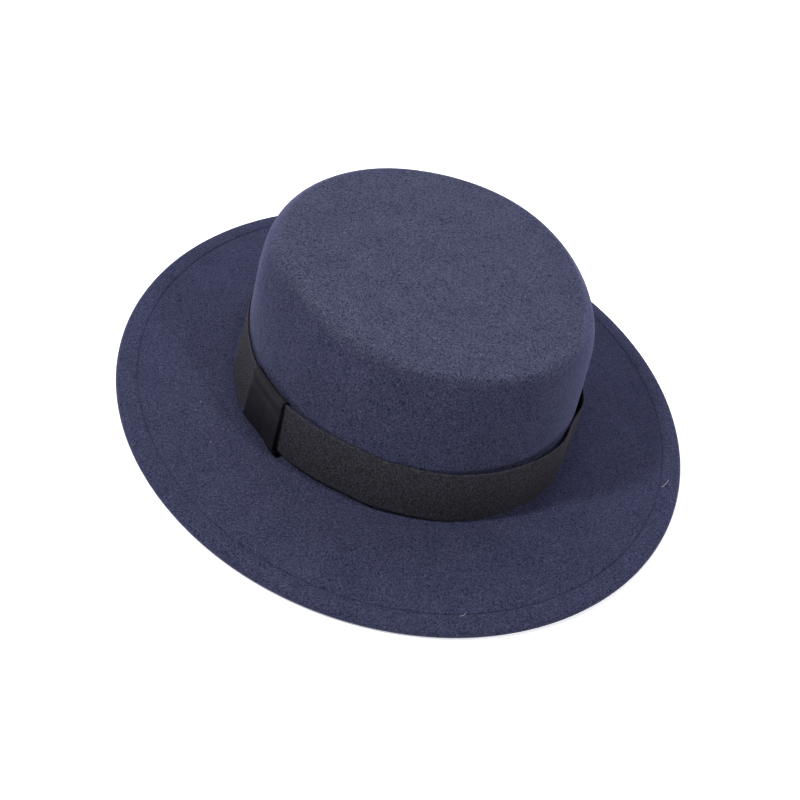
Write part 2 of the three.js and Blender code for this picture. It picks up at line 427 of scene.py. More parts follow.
def dress(piece: bpy.types.Object, material: bpy.types.Material) -> None:
    """Gives a piece one material."""
    piece.data.materials.clear()
    piece.data.materials.append(material)


def grain_group(name: str) -> bpy.types.NodeTree:
    """Makes the shared group for matted fibres: two masks and a height.

    Args:
        name: Name of the group.

    Returns:
        The group.
    """
    build = Tree(bpy.data.node_groups.new(name, "ShaderNodeTree"))
    given = build.sockets(
        [("Vector", "Vector"), ("Fibre Scale", "Float", 900.0), ("Patch Scale", "Float", 60.0)],
        [("Grain", "Float"), ("Patch", "Float"), ("Height", "Float")],
    )
    warp = build.noise(given["Vector"], 260.0, 2.0)
    pull = build.node("ShaderNodeVectorMath", {0: warp["Color"], 3: 0.004}, operation="SCALE")
    moved = build.node(
        "ShaderNodeVectorMath", {0: given["Vector"], 1: pull.outputs[0]}, operation="ADD"
    ).outputs[0]
    fine = build.noise(moved, given["Fibre Scale"], 4.0, 0.7)
    coarse = build.noise(moved, build.math("MULTIPLY", given["Fibre Scale"], 0.62), 3.0, 0.6)
    patch = build.noise(given["Vector"], given["Patch Scale"], 3.0, 0.55)
    half = build.math("MULTIPLY", coarse["Fac"], 0.45)
    both = build.math("MULTIPLY_ADD", fine["Fac"], 0.55, half)
    masks = {"Grain": build.ranged(both, 0.41, 0.59), "Patch": build.ranged(patch["Fac"], 0.3, 0.7)}
    build.node("NodeGroupOutput", {**masks, "Height": both})
    return build.tree


def dust_group(name: str) -> bpy.types.NodeTree:
    """Makes the shared group for fine pale dust: a sparse mask.

    Args:
        name: Name of the group.

    Returns:
        The group.
    """
    build = Tree(bpy.data.node_groups.new(name, "ShaderNodeTree"))
    given = build.sockets(
        [("Vector", "Vector"), ("Scale", "Float", 700.0), ("Amount", "Float", 0.3)],
        [("Mask", "Float")],
    )
    cells = build.node(
        "ShaderNodeTexVoronoi", {"Vector": given["Vector"], "Scale": given["Scale"]}
    ).outputs
    near = build.ranged(cells["Distance"], 0.22, 0.08)
    chance = build.node("ShaderNodeSeparateColor", {0: cells["Color"]}).outputs[0]
    some = build.math("GREATER_THAN", chance, build.math("SUBTRACT", 1.0, given["Amount"]))
    build.node("NodeGroupOutput", {"Mask": build.math("MULTIPLY", near, some)})
    return build.tree


PATTERNS = {Pattern.GRAIN: grain_group, Pattern.DUST: dust_group}


@dataclass(frozen=True)
class Finish:
    """Base of the finishes: a named Principled material with its fixed values."""

    name: str
    roughness: float
    specular: float = 0.2
    sheen: float = 0.0
    sheen_roughness: float = 0.5
    sheen_tint: Colour = (1.0, 1.0, 1.0)

    def paint(self, tree: Tree) -> dict[str, Socket]:
        """Gives what feeds the shader's inputs: here nothing, and in a finish its own."""
        return {}

    def material(self) -> bpy.types.Material:
        """Builds the material.

        Returns:
            The material with the finish's paint on it.
        """
        made = bpy.data.materials.new(self.name)
        made.use_nodes = True
        tree = Tree(made.node_tree)
        shader = tree.node(
            "ShaderNodeBsdfPrincipled",
            {
                "Roughness": self.roughness,
                "Specular IOR Level": self.specular,
                "Sheen Weight": self.sheen,
                "Sheen Roughness": self.sheen_roughness,
                "Sheen Tint": (*self.sheen_tint, 1.0),
            },
        )
        tree.node("ShaderNodeOutputMaterial", {"Surface": shader.outputs[0]})
        for name, socket in self.paint(tree).items():
            made.node_tree.links.new(socket, shader.inputs[name])
        return made


@dataclass(frozen=True)
class FeltFinish(Finish):
    """Matted navy wool felt with darker and paler fibres and a dusting of lint."""

    name: str = "navy wool felt"
    roughness: float = 1.0
    specular: float = 0.05
    sheen: float = 0.45
    sheen_roughness: float = 0.3
    sheen_tint: Colour = (0.54, 0.58, 1.0)
    deep: Colour = (0.008, 0.010, 0.027)
    middle: Colour = (0.028, 0.030, 0.064)
    pale: Colour = (0.066, 0.069, 0.120)
    # Painted light: a paler colour for the top, which faces the lamps, eased in between these two
    # heights.
    lit_top: Colour = (0.097, 0.102, 0.152)
    lit_top_heights: tuple[float, float] = (0.0785, 0.0845)
    dust: Colour = (0.15, 0.15, 0.18)
    fibre_scale: float = 2100.0
    patch_share: float = 0.1
    # Painted shade: a band of the deep colour along the stitched groove, centred on the stitch line's
    # inset.
    stitch_inset: float = 10.4
    groove_shade_reach: tuple[float, float] = (0.75, 0.1)
    groove_shade_share: float = 0.35
    bump: float = 0.00035

    def paint(self, tree: Tree) -> dict[str, Socket]:
        """Paints the felt, paler on the top with painted light and darker in the stitched groove with
        painted shade.

        Args:
            tree: The material's tree.

        Returns:
            What feeds the shader's inputs.
        """
        place = tree.place()
        grain = tree.pattern(Pattern.GRAIN, {"Vector": place, "Fibre Scale": self.fibre_scale})
        dust = tree.pattern(Pattern.DUST, {"Vector": place, "Scale": 420.0, "Amount": 0.1})
        tone = tree.math("MULTIPLY", grain["Grain"], 1 - self.patch_share)
        tone = tree.math("MULTIPLY_ADD", grain["Patch"], self.patch_share, tone)
        # Painted light: the upward-facing top above these heights gets the paler colour.
        top = tree.ranged(tree.parts(place)["Z"], *self.lit_top_heights, "SMOOTHSTEP")
        high = tree.blend(top, self.pale, self.lit_top)
        dark = tree.blend(tone, self.deep, self.middle)
        full = tree.blend(tree.math("POWER", tone, 1.5), dark, high)
        flecked = tree.blend(tree.math("MULTIPLY", dust["Mask"], 0.35), full, self.dust)
        # Painted shade in the stitched groove: darker nearer the stitch line.
        off = tree.math("ABSOLUTE", tree.math("SUBTRACT", tree.lay()["Y"], self.stitch_inset))
        groove = tree.ranged(off, *self.groove_shade_reach, "SMOOTHSTEP")
        shaded = tree.blend(tree.math("MULTIPLY", groove, self.groove_shade_share), flecked, self.deep)
        return {"Base Color": shaded, "Normal": tree.bump(grain["Height"], 0.9, self.bump)}


@dataclass(frozen=True)
class FibreFinish(Finish):
    """Loose fibres of the felt's nap, each with a tone of its own."""

    name: str = "loose felt fibres"
    roughness: float = 0.9
    specular: float = 0.1
    sheen: float = 0.15
    sheen_tint: Colour = (0.66, 0.68, 1.0)
    dark: Colour = (0.012, 0.013, 0.032)
    pale: Colour = (0.105, 0.108, 0.165)

    def paint(self, tree: Tree) -> dict[str, Socket]:
        """Paints each fibre in its own tone, few of them pale."""
        tone = tree.node("ShaderNodeAttribute", attribute_name="tone").outputs["Fac"]
        return {"Base Color": tree.blend(tree.math("POWER", tone, 2.0), self.dark, self.pale)}


@dataclass(frozen=True)
class RibbonFinish(Finish):
    """Ribbed black ribbon with a dull warm cast and pale dust caught on its ribs."""

    name: str = "ribbed black ribbon"
    roughness: float = 0.75
    specular: float = 0.12
    sheen: float = 0.02
    sheen_roughness: float = 0.5
    sheen_tint: Colour = (1.0, 0.97, 0.94)
    # Dark and pale ends of the ribbon's colour: random grain, plus painted shade in the furrows and
    # painted light on the rib crests.
    furrow: Colour = (0.0125, 0.012, 0.0155)
    rib: Colour = (0.056, 0.054, 0.072)
    dust: Colour = (0.16, 0.15, 0.15)
    ribs: float = 790.0
    weave_scale: float = 1300.0

    def paint(self, tree: Tree) -> dict[str, Socket]:
        """Paints the ribbon with painted light on its rib crests, painted shade in its furrows, random
        grain and light dust.

        Args:
            tree: The material's tree.

        Returns:
            What feeds the shader's inputs.
        """
        place = tree.place()
        # Painted light and shade: paler on the rib crests, darker in the furrows, mixed with random
        # grain.
        crest = tree.math("MULTIPLY_ADD", tree.wave(tree.lay()["X"], self.ribs), 0.5, 0.5)
        fine = tree.noise(place, self.weave_scale, 3.0)["Fac"]
        fleck = tree.ranged(fine, 0.40, 0.62)
        rib_light_and_grain = tree.math("MULTIPLY", tree.math("MULTIPLY_ADD", crest, 0.6, 0.4), fleck)
        base = tree.blend(rib_light_and_grain, self.furrow, self.rib)
        dust = tree.pattern(Pattern.DUST, {"Vector": place, "Scale": 650.0, "Amount": 0.12})
        colour = tree.blend(tree.math("MULTIPLY", dust["Mask"], 0.3), base, self.dust)
        return {"Base Color": colour, "Normal": tree.bump(fine, 0.5, 0.0001)}


@dataclass(frozen=True)
class SatinFinish(Finish):
    """Smooth black satin of the keeper, finely woven across its width."""

    name: str = "black satin ribbon"
    roughness: float = 0.55
    specular: float = 0.16
    sheen: float = 0.0
    dark: Colour = (0.003, 0.003, 0.005)
    pale: Colour = (0.010, 0.010, 0.016)
    threads: float = 60.0

    def paint(self, tree: Tree) -> dict[str, Socket]:
        """Paints the satin with faint patches and fine threads.

        Args:
            tree: The material's tree.

        Returns:
            What feeds the shader's inputs.
        """
        inputs = {"Vector": tree.place(), "Fibre Scale": 1400.0, "Patch Scale": 160.0}
        grain = tree.pattern(Pattern.GRAIN, inputs)
        share = tree.math("MULTIPLY", grain["Grain"], grain["Patch"])
        relief = tree.bump(tree.wave(tree.lay()["Y"], self.threads), 0.35, 0.00008)
        return {"Base Color": tree.blend(share, self.dark, self.pale), "Normal": relief}


@dataclass(frozen=True)
class ThreadFinish(Finish):
    """Sewing thread with its twist, or a strand of pale lint."""

    name: str = "dark navy thread"
    roughness: float = 0.7
    specular: float = 0.25
    dark: Colour = (0.012, 0.014, 0.030)
    pale: Colour = (0.030, 0.033, 0.062)
    scale: float = 1800.0

    def paint(self, tree: Tree) -> dict[str, Socket]:
        """Paints the thread's twist."""
        grain = tree.pattern(Pattern.GRAIN, {"Vector": tree.place(), "Fibre Scale": self.scale})
        return {"Base Color": tree.blend(grain["Grain"], self.dark, self.pale)}


@dataclass(frozen=True)
class HatLines:
    """Lines of the crown and brim that every piece is set against."""

    head_length: float = 204.0
    head_width: float = 170.5
    shoulder_length: float = 190.0
    shoulder_width: float = 167.4
    crown_height: float = 75.4
    shoulder_radius: float = 22.0
    crest_radius: float = 7.0
    crest_bend: float = 43.0
    tip_dome: float = 1.6
    tip_lean: float = 2.8
    crown_squareness: float = 2.1
    brim_front: float = 65.3
    brim_side: float = 61.8
    brim_drop: float = 5.0
    foot_radius: float = 1.2
    felt: float = 2.2
    step: float = 1.0 / 84
    hem_depth: float = 10.4
    hem_fall: float = 0.8
    shoulder_bend: float = 90.0
    shoulder_shift: float = 0.0
    heights: tuple[float, ...] = (0.0, 0.25, 0.5, 0.75, 1.0)
    narrowings: tuple[float, ...] = (0.0, 0.13, 0.36, 0.67, 1.0)
    side_narrowings: tuple[float, ...] = (0.0, 0.13, 0.36, 0.67, 1.0)

    @property
    def foot_z(self) -> float:
        """Height of the foot of the crown above the floor."""
        return 2 * self.felt + self.hem_fall + self.brim_drop

    @property
    def wall_height(self) -> float:
        """Height of the crown wall below its rounded shoulder."""
        return self.crown_height - self.tip_dome - self.shoulder_place(0.0)[1]

    def shoulder_place(self, degrees: float) -> tuple[float, float]:
        """Place on the rounded shoulder, which is tightest at the crest.

        Args:
            degrees: How far the surface has turned from level.

        Returns:
            Distance in from the crown's side, and height above its wall.
        """
        bend, end = math.radians(self.crest_bend), math.radians(self.shoulder_bend)
        side, crest = max(math.radians(degrees), bend), min(math.radians(degrees), bend)
        inset = self.shoulder_radius * (math.sin(end) - math.sin(side))
        rise = self.shoulder_radius * (math.cos(side) - math.cos(end))
        inset += self.crest_radius * (math.sin(bend) - math.sin(crest))
        return inset, rise + self.crest_radius * (math.cos(crest) - math.cos(bend))

    def wall_rows(self, height: np.ndarray) -> np.ndarray:
        """Sections of the crown wall.

        Args:
            height: Heights above the foot of the crown.

        Returns:
            One row for each height.
        """
        share = np.interp(height / self.wall_height, self.heights, self.narrowings)
        side = np.interp(height / self.wall_height, self.heights, self.side_narrowings)
        return np.stack(
            [
                mix(self.head_length, self.shoulder_length, share) / 2,
                mix(self.head_width, self.shoulder_width, side) / 2,
                self.foot_z + height,
                np.full_like(share, self.crown_squareness),
                self.shoulder_shift * side,
            ],
            axis=-1,
        )

    def beside(self, turn: np.ndarray, height: np.ndarray, out: np.ndarray) -> np.ndarray:
        """Points beside the crown wall.

        Args:
            turn: Where round the crown.
            height: Height above the foot.
            out: Distance out from the felt.

        Returns:
            One point for each place.
        """
        turn, height, out = (a.ravel() for a in np.broadcast_arrays(turn, height, out))
        rows = self.wall_rows(height)

        def at(where: np.ndarray) -> np.ndarray:
            """Point of each row at its own turn."""
            x, y = round_oval(2 * math.pi * where, rows[:, 0], rows[:, 1], rows[:, 3])
            return np.stack([x, y, rows[:, 2]], axis=-1)

        along = at(turn + self.step) - at(turn - self.step)
        outward = np.stack([along[:, 1], -along[:, 0], np.zeros(len(turn))], axis=-1)
        outward /= np.linalg.norm(outward, axis=1, keepdims=True)
        return at(turn) + outward * out[:, None]

    def edge_row(self, inset: float, z: float) -> tuple[float, float, float, float, float]:
        """Brim section a distance in from the outer edge.

        Args:
            inset: Distance in from the edge.
            z: Height of the section.

        Returns:
            Half length, half width, height, squareness and middle.
        """
        length = self.head_length / 2 + self.brim_front - inset
        width = self.head_width / 2 + self.brim_side - inset
        return length, width, z, 2.0, 0.0

    def turn_of(self, length: float, turn: float) -> float:
        """Share of a turn that a length takes up along the foot.

        Args:
            length: The length.
            turn: Where round the crown it lies.

        Returns:
            The share of a turn.
        """
        around = np.array([turn - self.step, turn + self.step])
        ends = self.beside(around, np.zeros(2), np.zeros(2))
        return length * 2 * self.step / float(np.linalg.norm(ends[1] - ends[0]))


@dataclass
class FeltBody:
    """Crown and brim in one felt, with the brim's edge folded under and stitched down."""

    lines: HatLines
    finish: FeltFinish = field(default_factory=FeltFinish)
    columns: int = 480
    hem_under: float = 11.9
    top_shares: tuple[tuple[float, float], ...] = ((0.03, 0.0), (0.35, 0.1), (0.7, 0.42), (0.97, 0.92))
    crest_shares: tuple[float, ...] = (0.1, 0.3, 0.5, 0.7, 0.9)
    side_shares: tuple[float, ...] = (0.25, 0.6)
    brim_shares: tuple[tuple[float, float], ...] = (
        (0.05, 0.05),
        (0.1, 0.02),
        (0.3, 0.2),
        (0.55, 0.5),
        (0.8, 0.82),
        (1, 1),
    )
    groove: tuple[tuple[float, float], ...] = (
        (1.1, 0.1),
        (0.75, 0.04),
        (0.45, -0.12),
        (0.15, -0.34),
        (-0.15, -0.34),
        (-0.45, -0.12),
        (-0.8, 0.02),
        (-1.3, 0.02),
    )
    hem_insets: tuple[float, ...] = (8.0, 6.8, 5.4, 4.0, 2.9)
    hem_swell: float = 0.25
    fold_steps: int = 10
    under_insets: tuple[float, ...] = (3.4, 5.0, 7.0, 8.8)
    rows_past_fold: int = 20
    rows_without_nap: int = 16
    # Rows from the fold on are moved this far off the painted groove shade, so none falls under the
    # fold.
    off_groove_shade: float = 40.0
    inner_nap: float = 0.3
    ridge_turns: tuple[float, float] = (-0.185, -0.012)
    ridge_height: float = 0.5
    ridge_out: tuple[float, float] = (4.2, 1.5)
    foot_dip: float = 0.45
    foot_dip_out: tuple[float, float] = (2.2, 1.2)
    front_length: float = 178.7
    front_width: float = 152.3
    front_shift: float = 5.0
    front_radius: float = 3.5
    front_bends: tuple[float, float] = (70.0, 73.0)
    front_narrowings: tuple[float, ...] = (0.0, 0.104, 0.287, 0.588, 1.0)
    front_side_narrowings: tuple[float, ...] = (0.0, 0.02, 0.13, 0.5, 1.0)
    front_turn: float = -0.02
    front_reach: float = 0.15
    front_ease: float = 0.08
    counts: list[int] = field(default_factory=list)
    dent_place: tuple[float, float] = (79.8, -100.3)
    dent_depth: float = 0.9
    dent_spread: tuple[float, float] = (60.0, 18.0)
    waves: tuple[tuple[float, float, float], ...] = (
        (2.0, 0.22, 0.3),
        (3.0, 0.25, 2.1),
        (5.0, 0.16, 4.0),
        (9.0, 0.08, 1.3),
    )
    swells: tuple[tuple[float, float, float], ...] = ((3.0, 0.28, 14.0), (7.0, 0.16, -9.0))

    def front_share(self, turns: np.ndarray) -> np.ndarray:
        """How fully the crown has its crisper front shoulder at each turn."""
        away = np.abs(turns - self.front_turn - np.round(turns - self.front_turn))
        return 1 - smoothstep(self.front_reach, self.front_reach + self.front_ease, away)

    def upper_rows(self, one: HatLines) -> np.ndarray:
        """Rows of the upper face from near the middle of the crown out to the hem line.

        Args:
            one: The lines of the crown to follow.

        Returns:
            One row for each section.
        """
        flat = one.shoulder_place(0.0)[0]
        corner_l = one.shoulder_length / 2 - flat
        corner_w = one.shoulder_width / 2 - flat
        sq = one.crown_squareness
        top = one.foot_z + one.crown_height
        rows = [
            (corner_l * s, corner_w * s, top - one.tip_dome * fall, sq, one.shoulder_shift * s)
            for s, fall in self.top_shares
        ]
        spacing = [3.4, 3.4, 3.4]
        bend, end = one.crest_bend, one.shoulder_bend
        half_l, half_w = one.shoulder_length / 2, one.shoulder_width / 2
        turned = [bend * share for share in self.crest_shares]
        turned += [mix(bend, end, share) for share in self.side_shares]
        for degrees in turned:
            inset, rise = one.shoulder_place(degrees)
            z = one.foot_z + one.wall_height + rise
            rows.append((half_l - inset, half_w - inset, z, sq, one.shoulder_shift))
            spacing.append(1.5)
        for share in (1.0, 0.75, 0.5, 0.25):
            rows.append(tuple(one.wall_rows(np.array([share * one.wall_height]))[0]))
            spacing.append(2.2)
        for degrees in (90, 45, 0):
            angle = math.radians(90 - degrees)
            out = one.foot_radius * (1 - math.cos(angle))
            z = one.foot_z + one.foot_radius * (1 - math.sin(angle))
            rows.append((one.head_length / 2 + out, one.head_width / 2 + out, z, sq, 0.0))
            spacing.append(2.2)
        hem = one.edge_row(one.hem_depth + 1.6, one.foot_z - one.brim_drop + 0.12)
        for reach, drop in self.brim_shares:
            rows.append(
                (
                    mix(one.head_length / 2 + one.foot_radius, hem[0], reach),
                    mix(one.head_width / 2 + one.foot_radius, hem[1], reach),
                    mix(one.foot_z, hem[2], drop),
                    mix(sq, 2.0, reach),
                    0.0,
                )
            )
            spacing.append(1.0 if reach < 0.2 else 1.7)
        return smooth_rows(np.array(rows), spacing, self.counts)

    def edge_rows(self) -> np.ndarray:
        """Rows from the hem line over the folded edge to the hem's cut end underneath.

        Returns:
            The section rows.
        """
        one = self.lines
        line_z = one.foot_z - one.brim_drop
        rows = [one.edge_row(one.hem_depth + by, line_z + up) for by, up in self.groove]
        for inset in self.hem_insets:
            share = 1 - (inset - one.felt) / (one.hem_depth - one.felt)
            swell = self.hem_swell * math.sin(math.pi * share)
            rows.append(one.edge_row(inset, line_z - one.hem_fall * share + swell))
        for i in range(self.fold_steps + 1):
            angle = math.pi * i / self.fold_steps
            inset = one.felt * (1 - math.sin(angle))
            rows.append(one.edge_row(inset, one.felt * (1 + math.cos(angle))))
        for inset in (*self.under_insets, self.hem_under - 0.7, self.hem_under - 0.2):
            rows.append(one.edge_row(inset, 0.0))
        rows.append(one.edge_row(self.hem_under, 0.35))
        rows.append(one.edge_row(self.hem_under + 0.08, 1.6))
        rows.append(one.edge_row(self.hem_under - 0.3, 2.2))
        return np.array(rows)

    def shaped(self, points: np.ndarray, rows: np.ndarray, turns: np.ndarray) -> np.ndarray:
        """Adds the small unevenness of real felt.

        Args:
            points: Grid of points of one face.
            rows: The sections they were made from.
            turns: Where the columns lie.

        Returns:
            The moved points.
        """
        one = self.lines
        beyond = (rows[:, 0] - one.head_length / 2 - one.foot_radius)[:, None]
        on_brim = beyond > 0
        reach = np.clip(beyond / one.brim_front, 0, 1)
        angle = 2 * math.pi * turns[None, :]
        wave = sum(a * np.sin(n * angle + p) for n, a, p in self.waves)
        lift = wave * np.sin(math.pi * np.clip(reach / 0.88, 0, 1)) * on_brim
        start, end = self.ridge_turns
        side = (turns[None, :] + 0.5) % 1.0 - 0.5
        near = smoothstep(start - 0.02, start + 0.03, side)
        near = near * (1 - smoothstep(end - 0.03, end + 0.02, side))
        lift = lift + self.ridge_height * bell(beyond, *self.ridge_out) * near * on_brim
        lift = lift - self.foot_dip * bell(beyond, *self.foot_dip_out) * on_brim
        dx, dy = points[..., 0] - self.dent_place[0], points[..., 1] - self.dent_place[1]
        long, short = self.dent_spread
        dent = np.exp(-((dx + dy) ** 2) / long - ((dx - dy) ** 2) / short)
        lift = lift - self.dent_depth * dent * on_brim
        points = points.copy()
        height = np.maximum(0, points[..., 2] - one.foot_z) / one.crown_height
        lean = one.tip_lean * height**2 * points[..., 0] / one.shoulder_width
        points[..., 2] += lift - lean
        wall = smoothstep(0, 12, rows[:, 2] - one.foot_z)[:, None] * ~on_brim
        swell = sum(a * np.sin(n * angle + rows[:, 2, None] / by) for n, a, by in self.swells)
        size = np.maximum(np.hypot(points[..., 0], points[..., 1]), 20)
        for axis in (0, 1):
            points[..., axis] *= 1 + wall * swell / size
        return points

    def under_points(self, points: np.ndarray) -> np.ndarray:
        """Points of the inner face, square to the upper face and the felt's thickness in.

        Args:
            points: Points of the upper face.

        Returns:
            The inner points, in the same order.
        """
        above = np.concatenate([points[:1], points[:-1]])
        below = np.concatenate([points[1:], points[-1:]])
        ahead, behind = np.roll(points, -1, axis=1), np.roll(points, 1, axis=1)
        normal = np.cross(below - above, ahead - behind)
        normal /= np.linalg.norm(normal, axis=2, keepdims=True)
        return points - normal * self.lines.felt

    def build(self) -> bpy.types.Object:
        """Makes the felt.

        Returns:
            The felt piece.
        """
        one = self.lines
        turns = np.arange(self.columns) / self.columns
        upper_rows, edge_rows = self.upper_rows(one), self.edge_rows()
        front = replace(
            one,
            shoulder_length=self.front_length,
            shoulder_width=self.front_width,
            shoulder_shift=self.front_shift,
            crest_radius=self.front_radius,
            crest_bend=self.front_bends[0],
            shoulder_bend=self.front_bends[1],
            narrowings=self.front_narrowings,
            side_narrowings=self.front_side_narrowings,
        )
        front_rows = self.upper_rows(front)
        share = self.front_share(turns)[None, :, None]
        upper = mix(oval(upper_rows, turns), oval(front_rows, turns), share)
        upper = self.shaped(upper, upper_rows, turns)
        keep = np.r_[np.arange(0, len(upper_rows) - 1, 2), len(upper_rows) - 1]
        inner = self.under_points(upper)[keep][::-1]
        full_length = one.head_length / 2 + one.brim_front
        insets = [full_length - r[:, 0] for r in (upper_rows, edge_rows, upper_rows[keep][::-1])]
        # Moves the rows under the fold off the painted groove shade.
        insets[1][-self.rows_past_fold :] += self.off_groove_shade
        insets[2] += self.off_groove_shade
        points = np.concatenate([upper, oval(edge_rows, turns), inner])
        top = one.foot_z + one.crown_height
        poles = [(0, 0, top), (0, 0, top - one.felt)]
        piece = loft("hat_felt", points, np.concatenate(insets), poles)
        outside = len(upper_rows) + len(edge_rows) - self.rows_without_nap
        share = np.where(np.arange(len(points)) < outside, 1.0, 0.0)
        share[len(upper_rows) + len(edge_rows) :] = self.inner_nap
        store(piece, "nap", np.append(np.repeat(share, self.columns), [1.0, self.inner_nap]))
        dress(piece, self.finish.material())
        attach(piece, BODY)
        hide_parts("felt_body")
        return piece


@dataclass
class FeltNap:
    """Loose fibres that stand and lie on the felt."""

    finish: FibreFinish = field(default_factory=FibreFinish)
    density: float = 320000.0
    length: float = 0.95
    width: float = 0.085
    curl: float = 0.14
    least_turn: Point = (-0.32, -0.42, 0.0)
    most_turn: Point = (0.32, 0.42, 6.283)
    sizes: tuple[float, float] = (0.45, 1.35)
    seed: int = 7

    def tree(self) -> bpy.types.NodeTree:
        """Builds the geometry tree that scatters the fibres.

        Returns:
            The tree.
        """
        build = Tree(bpy.data.node_groups.new("felt nap", "GeometryNodeTree"))
        given = build.sockets(
            [
                ("Geometry", "Geometry"),
                ("Density", "Float", 1000.0),
                ("Length", "Float", 0.001),
                ("Width", "Float", 0.0001),
                ("Curl", "Float", 0.0001),
                ("Seed", "Int", 0),
                ("Material", "Material"),
            ],
            [("Geometry", "Geometry")],
        )
        seed, length = given["Seed"], given["Length"]
        density = build.math("MULTIPLY", build.named("nap"), given["Density"])
        points = build.node(
            "GeometryNodeDistributePointsOnFaces",
            {"Mesh": given["Geometry"], "Density": density, "Seed": seed},
        ).outputs
        sizes = {"Size X": length, "Size Y": given["Width"], "Vertices X": 3, "Vertices Y": 2}
        strip = build.node("GeometryNodeMeshGrid", sizes).outputs[0]
        place = build.parts(build.node("GeometryNodeInputPosition").outputs[0])
        share = build.math("DIVIDE", place["X"], length)
        arch = build.math("MULTIPLY_ADD", build.math("MULTIPLY", share, share), -4.0, 1.0)
        lift = build.math("MULTIPLY", arch, given["Curl"])
        bend = build.node("ShaderNodeCombineXYZ", {"Y": lift, "Z": lift}).outputs[0]
        curved = build.node("GeometryNodeSetPosition", {"Geometry": strip, "Offset": bend})
        low, high = self.least_turn, self.most_turn
        fibres = build.node(
            "GeometryNodeInstanceOnPoints",
            {
                "Points": points["Points"],
                "Instance": curved.outputs[0],
                "Rotation": build.turned(points["Rotation"], low, high, seed),
                "Scale": build.random(*self.sizes, seed),
            },
        )
        marked = build.node(
            "GeometryNodeStoreNamedAttribute",
            {"Geometry": fibres.outputs[0], "Name": "tone", "Value": build.random(0.0, 1.0, 3)},
            data_type="FLOAT",
            domain="INSTANCE",
        )
        return build.end(marked.outputs[0], given["Material"])

    def build(self, felt: bpy.types.Object) -> bpy.types.Object:
        """Scatters the fibres over the felt.

        Args:
            felt: The felt piece.

        Returns:
            The nap piece.
        """
        piece = linked("felt_nap", felt.data.copy())
        apply_tree(
            piece,
            self.tree(),
            {
                "Density": self.density,
                "Length": self.length * MM,
                "Width": self.width * MM,
                "Curl": self.curl * MM,
                "Seed": self.seed,
                "Material": self.finish.material(),
            },
        )
        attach(piece, BODY)
        return piece


@dataclass
class HemStitching:
    """Stitches that hold the folded brim edge, on the upper face and underneath."""

    lines: HatLines
    finish: ThreadFinish = field(default_factory=ThreadFinish)
    pitch: float = 3.1
    stitch: float = 2.2
    sunk: float = 0.24
    below: float = 0.13
    wobble: Point = (0.07, 0.05, 0.0)
    weight: Weight = Weight.SEWING
    columns: int = 720
    seed: int = 11

    def tree(self) -> bpy.types.NodeTree:
        """Builds the geometry tree that sets stitches along a line.

        Returns:
            The tree.
        """
        build = Tree(bpy.data.node_groups.new("hem stitches", "GeometryNodeTree"))
        given = build.sockets(
            [
                ("Geometry", "Geometry"),
                ("Pitch", "Float", 0.003),
                ("Stitch Length", "Float", 0.002),
                ("Thread Radius", "Float", 0.0002),
                ("Seed", "Int", 0),
                ("Material", "Material"),
            ],
            [("Geometry", "Geometry")],
        )
        path = build.node("GeometryNodeMeshToCurve", {0: given["Geometry"]}).outputs[0]
        steps = {"Curve": path, "Length": given["Pitch"]}
        points = build.node("GeometryNodeCurveToPoints", steps, mode="LENGTH").outputs
        ball = build.node("GeometryNodeMeshUVSphere", {"Segments": 7, "Rings": 6, "Radius": 1.0})
        radius, half = given["Thread Radius"], build.math("MULTIPLY", given["Stitch Length"], 0.5)
        size = build.node("ShaderNodeCombineXYZ", {"X": radius, "Y": radius, "Z": half}).outputs[0]
        shaped = build.node("GeometryNodeTransform", {"Geometry": ball.outputs[0], "Scale": size})
        low, high = tuple(-by for by in self.wobble), self.wobble
        stitches = build.node(
            "GeometryNodeInstanceOnPoints",
            {
                "Points": points["Points"],
                "Instance": shaped.outputs[0],
                "Rotation": build.turned(points["Rotation"], low, high, given["Seed"]),
            },
        )
        return build.end(stitches.outputs[0], given["Material"])

    def build(self) -> list[bpy.types.Object]:
        """Sews the hem.

        Returns:
            The stitches of the upper face and those underneath.
        """
        one = self.lines
        tree, material = self.tree(), self.finish.material()
        line_z = one.foot_z - one.brim_drop
        turns = np.arange(self.columns) / self.columns
        edges = [(i, (i + 1) % self.columns) for i in range(self.columns)]
        made = []
        for name, z in (("hem_stitches", line_z - self.sunk), ("hem_stitches_under", self.below)):
            points = oval(np.array([one.edge_row(one.hem_depth, z)]), turns)[0]
            line = bpy.data.meshes.new(name)
            line.from_pydata((points * MM).tolist(), edges, [])
            piece = linked(name, line)
            apply_tree(
                piece,
                tree,
                {
                    "Pitch": self.pitch * MM,
                    "Stitch Length": self.stitch * MM,
                    "Thread Radius": self.weight.value * MM,
                    "Seed": self.seed,
                    "Material": material,
                },
            )
            for face in piece.data.polygons:
                face.use_smooth = True
            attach(piece, BODY)
            made.append(piece)
        return made


